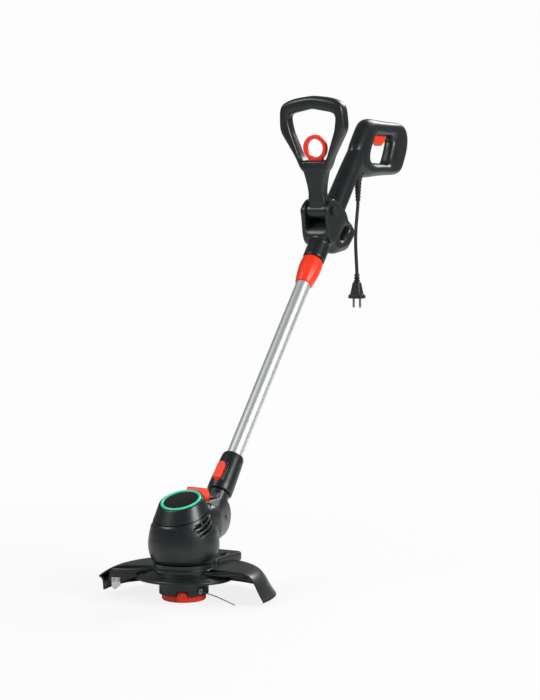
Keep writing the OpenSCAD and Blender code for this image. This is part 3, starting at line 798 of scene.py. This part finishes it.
# clamp sleeve, ring, badge, spool cover
def makeClampSleeve():
    # barrel turned on the shaft, with shallow finger flutes that fade at both ends
    along = np.linspace(0, 52, 66)
    radius = np.interp(along, [0, 0.8, 2, 12, 24, 34, 43, 49, 51.2, 52],
                       [13.6, 14.4, 15, 16.8, 18.3, 19, 18.9, 18, 17.3, 16.4])
    angle = around(144)
    fade = np.sin(np.clip((along - 5) / 40, 0, 1) * math.pi)[:, None]
    flute = 0.5 * np.maximum(np.cos(12 * angle), 0)[None] ** 2
    radius = radius[:, None] - fade * flute
    bore, seat = np.full(144, 12.8), np.full(144, 14.6)
    radius = np.vstack([bore, radius, seat, seat, bore])
    along = np.concatenate([[0], along, [52, 7.6, 7.6]])
    under, side = radius * np.cos(angle), radius * np.sin(angle)
    start = 579          # mm up the shaft to the sleeve's lower end
    points = onShaft(under, np.broadcast_to(along[:, None] + start, under.shape), side)
    piece = meshOf("clampSleeveShell", [surface(points, closeRows=True)])
    return ready(piece, "clamp_sleeve", "orange_plastic", "clamp_sleeve", sharp=40)


def makeBadge():
    # a rounded ring and a slightly domed disc, both turned round the tilted cap axis
    low, high = boxOf("trim_ring")
    middle, outer = (low + high) / 2, (high[0] - low[0]) / 2 / mm
    tilt = math.radians(21)
    axis = np.array([0, -math.sin(tilt), math.cos(tilt)])
    back = np.cross(axis, sideways)

    def place(side, height, depth):
        return (middle + np.multiply.outer(side * mm, sideways) + np.multiply.outer(depth * mm, back)
                + np.multiply.outer(height * mm, axis))

    turn = np.linspace(0, math.pi, 14)
    ringRadii = np.concatenate([[outer - 4.4], outer - 2.2 - 2.2 * np.cos(turn), [outer]])
    ringHeight = np.concatenate([[-1.5], 0.5 + 1.5 * np.sin(turn), [-1.5]])
    ring = meshOf("trimRingBand", [dict(turnedPart(ringRadii, ringHeight, place, 144), closeRows=True)])
    ready(ring, "motor_head", "turquoise_plastic", "trim_ring", sharp=50)
    share = np.linspace(0, 1, 20)
    disc = outer - 4.5
    discRadii = np.concatenate([[0.3], disc * share[1:], [disc]])
    discHeight = np.concatenate([1.2 - 0.9 * share ** 2, [-1.4]])
    dome = meshOf("badgeDome", [turnedPart(discRadii, discHeight, place, 144)])
    ready(dome, "motor_head", "badge_black", "badge_disc", sharp=60)


def makeSpoolCover():
    # shallow dish turned round the spindle, with ribs pressed in its wall and two rounded tabs
    reach = 34           # mm from the spindle to the wall
    radii = np.array([0.5, 10, 11, 12, 29.5, 30.5, 32.4, 33.6, 34, 34, 33.2, 31.6, 31.6, 10.6, 0.5])
    heights = np.array([0.6, 0.6, 0.2, 0, 0, 0.05, 0.7, 1.9, 3.2, 9.2, 9.8, 9.8, 3, 3, 2.6])
    x, y, z = revolveGrid(radii, heights, 180)
    rib = 1 - 0.012 * (np.cos(around(180) * 36) > 0)[None] * ((radii > 33.5) & (heights > 2))[:, None]
    parts = [surface(level(x * rib, y * rib, z))]
    tab = {"middle": (0, 9.5), "halfWidth": 2.6, "boxiness": 0.35,
           "outline": [(-7.6, 1.5), (7.6, 1.5), (7.6, 13), (4.6, 17.4), (-4.6, 17.4), (-7.6, 13)]}
    for angle in (-62, 118):
        turn = math.radians(angle)
        out, aside = np.array([math.cos(turn), math.sin(turn)]), np.array([-math.sin(turn), math.cos(turn)])

        def place(first, second, width, out=out, aside=aside):
            away = reach + 2 + width
            return level(out[0] * away + aside[0] * first, out[1] * away + aside[1] * first, second)

        parts.append(platePart(tab, place, soften=6))
    piece = meshOf("spoolCoverDish", parts)
    return ready(piece, "rotor", "orange_plastic", "spool_cover", sharp=40)


makeClampSleeve()
makeBadge()
makeSpoolCover()
print("sleeve, badge and spool cover made")

# guard
guardDome = {
    "from": 1, "to": 198, "wall": 2.6, "change": (150, 176),
    "radii": [38, 60, 80, 98, 105, 111, 116, 120, 123, 126, 129, 131, 134, 137, 140, 142],
    "heights": [50, 50, 50, 50, 49.2, 47.5, 45.2, 42, 38.4, 34, 29, 25, 20, 15, 11, 8],
    "lipRadii": [38, 60, 80, 98, 106, 113, 120, 126, 131, 135, 136.4, 134, 130.4, 129.6, 129.2, 129],
    "lipHeights": [50, 50.2, 50.4, 50, 48.6, 46, 42.6, 39, 35.6, 32.4, 30.2, 29.4, 26, 20, 15, 9.4],
}


def guardSheet(facts, count=170):
    # the section, an outer line and the same line moved inwards by the wall, carried round the
    # spindle; over the left wing it changes from the flared rim to a lip over an upright skirt
    angle = np.radians(np.linspace(facts["from"], facts["to"], count))
    share = np.clip((np.degrees(angle) - facts["change"][0]) / np.subtract(*facts["change"][::-1]), 0, 1)
    share = (share * share * (3 - 2 * share))[:, None]
    place = np.arange(len(facts["radii"]))
    dense = np.linspace(0, place[-1], 61)
    radii, heights = (
        (1 - share) * np.interp(dense, place, facts[rim]) + share * np.interp(dense, place, facts[lip])
        for rim, lip in (("radii", "lipRadii"), ("heights", "lipHeights")))
    kernel = np.array([1, 2, 3, 2, 1]) / 9
    for line in (radii, heights):
        padded = np.hstack([line[:, :1]] * 2 + [line] + [line[:, -1:]] * 2)
        line[:] = sum(padded[:, k:k + line.shape[1]] * weight for k, weight in enumerate(kernel))
    slopeR, slopeZ = np.gradient(radii, axis=1), np.gradient(heights, axis=1)
    size = np.hypot(slopeR, slopeZ)
    bead = 1 + 0.35 * np.exp(-((dense - dense[-1]) / 0.5) ** 2)[None]
    innerR = radii + slopeZ / size * facts["wall"] * bead
    innerZ = heights - slopeR / size * facts["wall"] * bead
    loopR, loopZ = np.hstack([radii, innerR[:, ::-1]]), np.hstack([heights, innerZ[:, ::-1]])
    return surface(level(loopR * np.cos(angle)[:, None], loopR * np.sin(angle)[:, None], loopZ), caps="strip")


def ringProfile(radii, heights, count=180, stretch=0.0):
    # a closed section turned round the spindle, drawn out sideways where it is wider than 46 mm
    x, y, z = revolveGrid(radii, heights, count)
    x = x * (1 + stretch * np.clip((np.hypot(x, y) - 46) / 20, 0, 1))
    return surface(level(x, y, z), closeRows=True)


def edgePlate(facts, angle):
    turn = math.radians(angle)

    def place(radius, height, width):
        return level(radius * math.cos(turn) - width * math.sin(turn),
                     radius * math.sin(turn) + width * math.cos(turn), height)

    return platePart(facts, place, soften=2.5)


guardArms = [
    {"radius": 5.2, "route": [
        (-40, -16, 45), (-56, -23, 43.5), (-74, -29, 42), (-92, -33.5, 41.5), (-106, -36.5, 41.5)]},
    {"radius": 4.6, "route": [
        (42, -14, 45), (58, -12, 44.5), (74, -6, 45.5), (90, 1, 46.5), (104, 4, 45)]},
]


def makeGuard():
    leftFlange = {"middle": (96, 36), "halfWidth": 1.8, "boxiness": 0.15,
                  "outline": [(60, 49), (112, 46), (120, 39), (122, 22), (104, 20), (84, 29), (60, 36)]}
    rightRib = {"middle": (82, 43.5), "halfWidth": 1.4, "boxiness": 0.15,
                "outline": [(60, 49), (108, 46), (100, 40), (60, 38)]}
    spine = [(-34, 38), (34, 38), (34, 122), (-34, 122)]
    spineRows = [(1, 46.9), (1, 56.4), (0.985, 58), (0.955, 59.2), (0.9, 59.5), (0.45, 59.5), (0.02, 59.5),
                 (0.02, 57), (0.86, 57), (0.9, 55.5), (0.91, 46.9)]
    parts = [
        guardSheet(guardDome),
        # apron below the motor, with two raised rings on its slope
        ringProfile([40, 46, 49, 50, 52, 53, 56, 59, 60, 62, 63, 66, 67.4, 67.9, 67.9, 67.4, 65.5, 54, 45, 42,
                     41.5, 39.6, 38.2, 38],
                    [46, 46, 44.6, 45, 44.2, 43, 41.6, 40.4, 41, 40.2, 39, 38, 37.2, 36, 33.4, 33, 33, 36.5,
                     39.5, 35, 30.6, 30, 30.4, 45.4], stretch=0.13),
        # collar that bolts to the motor housing
        ringProfile([20.2, 46.4, 47, 47, 46.2, 45.8, 46.6, 46.6, 20.2],
                    [44, 44, 44.6, 49.6, 50.2, 52, 52.6, 57.9, 57.9]),
        edgePlate(leftFlange, guardDome["to"] - 2.5),
        edgePlate(rightRib, guardDome["from"] + 2.5),
        lidPart(spine, (0, 80), spineRows, level),
    ]
    for facts in guardArms:
        path = smoothLine(facts["route"], 60)
        swell = 1 - 0.25 * np.linspace(0, 1, 60) ** 2
        rings = tubeGrid(path, 1.0, 24)
        rings = path[:, None] + (rings - path[:, None]) * (facts["radius"] * swell)[:, None, None]
        parts.append(surface(rings * mm))
    for side in (-1, 1):
        x, y, z = revolveGrid([8.6, 8.2, 7.8, 7.2, 4.4, 4, 4, 0.4],
                              [59, 60, 60.7, 61, 61, 60.6, 58.6, 58.6], 48)
        parts.append(surface(level(x + side * 22, y + 84, z)))
    piece = meshOf("guardShell", parts)
    return ready(piece, "motor_head", "charcoal_plastic", "guard", sharp=38)


makeGuard()
print("guard made")


# stage
stage = {
    "floorReach": 40000, "floorHeight": -0.6,        # mm
    "floorGlow": 0.86, "ambient": 0.2, "white": 0.98,
    "lamps": [
        # name, place from the object's middle in metres, side in metres, watts
        ("keyLight", (-1.9, -2.4, 2.4), 1.5, 62),
        ("sideLight", (2.8, -0.5, 1.3), 1.1, 72),
        ("rimLight", (0.4, 2.8, 2.2), 1.5, 70),
    ],
}


def makeStage():
    edges = np.array([-stage["floorReach"], stage["floorReach"]])
    floor = meshOf("floor", [surface(level(*np.meshgrid(edges, edges), stage["floorHeight"]),
                                     closeColumns=False)])
    finish = Finish("paleFloor")
    speck = finish.noise(finish.place(), 0.02, 3)
    finish.shade(Base_Color=finish.mix(speck * 1.0, (0.86, 0.86, 0.86, 1), (0.9, 0.9, 0.9, 1)),
                 Roughness=0.75 + (speck - 0.5) * 0.1)
    straight = finish.node("ShaderNodeLightPath")
    glow = finish.node("ShaderNodeEmission", None, {"Color": (1, 1, 1, 1), "Strength": stage["white"]})
    spot = finish.node("ShaderNodeTexCoord", output="Object")
    away = finish.node("ShaderNodeVectorMath", {"operation": "LENGTH"}, {0: spot}, 1)
    fade = finish.node("ShaderNodeMapRange", {"interpolation_type": "SMOOTHSTEP"}, {
        "Value": away, "From Min": 0.2, "From Max": 1.3, "To Min": stage["floorGlow"], "To Max": 1.0})
    both = finish.node("ShaderNodeMixShader", None, {
        0: straight * fade, 1: Value(finish, finish.shader.outputs[0]), 2: glow})
    finish.put(finish.tree.nodes["Material Output"].inputs["Surface"], both)
    floor.data.materials.append(finish.material)
    world = bpy.data.worlds.new("studio")
    bpy.context.scene.world = world
    world.use_nodes = True
    tree = world.node_tree
    path, sky = tree.nodes.new("ShaderNodeLightPath"), tree.nodes["Background"]
    sky.inputs["Color"].default_value = (1, 1, 1, 1)
    # the world is white behind the object, and much dimmer as a light on it
    strength = tree.nodes.new("ShaderNodeMapRange")
    strength.inputs["To Min"].default_value = stage["ambient"]
    strength.inputs["To Max"].default_value = stage["white"]
    tree.links.new(path.outputs["Is Camera Ray"], strength.inputs["Value"])
    tree.links.new(strength.outputs["Result"], sky.inputs["Strength"])
    middle = (cadLow + cadHigh) / 2
    for name, offset, size, watts in stage["lamps"]:
        data = bpy.data.lights.new(name, "AREA")
        data.size, data.energy = size, watts
        lamp = bpy.data.objects.new(name, data)
        bpy.context.scene.collection.objects.link(lamp)
        lamp.location = middle + Vector(offset)
        lamp.rotation_euler = Vector(offset).to_track_quat("Z", "Y").to_euler()
    bpy.context.scene.view_settings.view_transform = "Standard"


makeStage()
print("stage made")
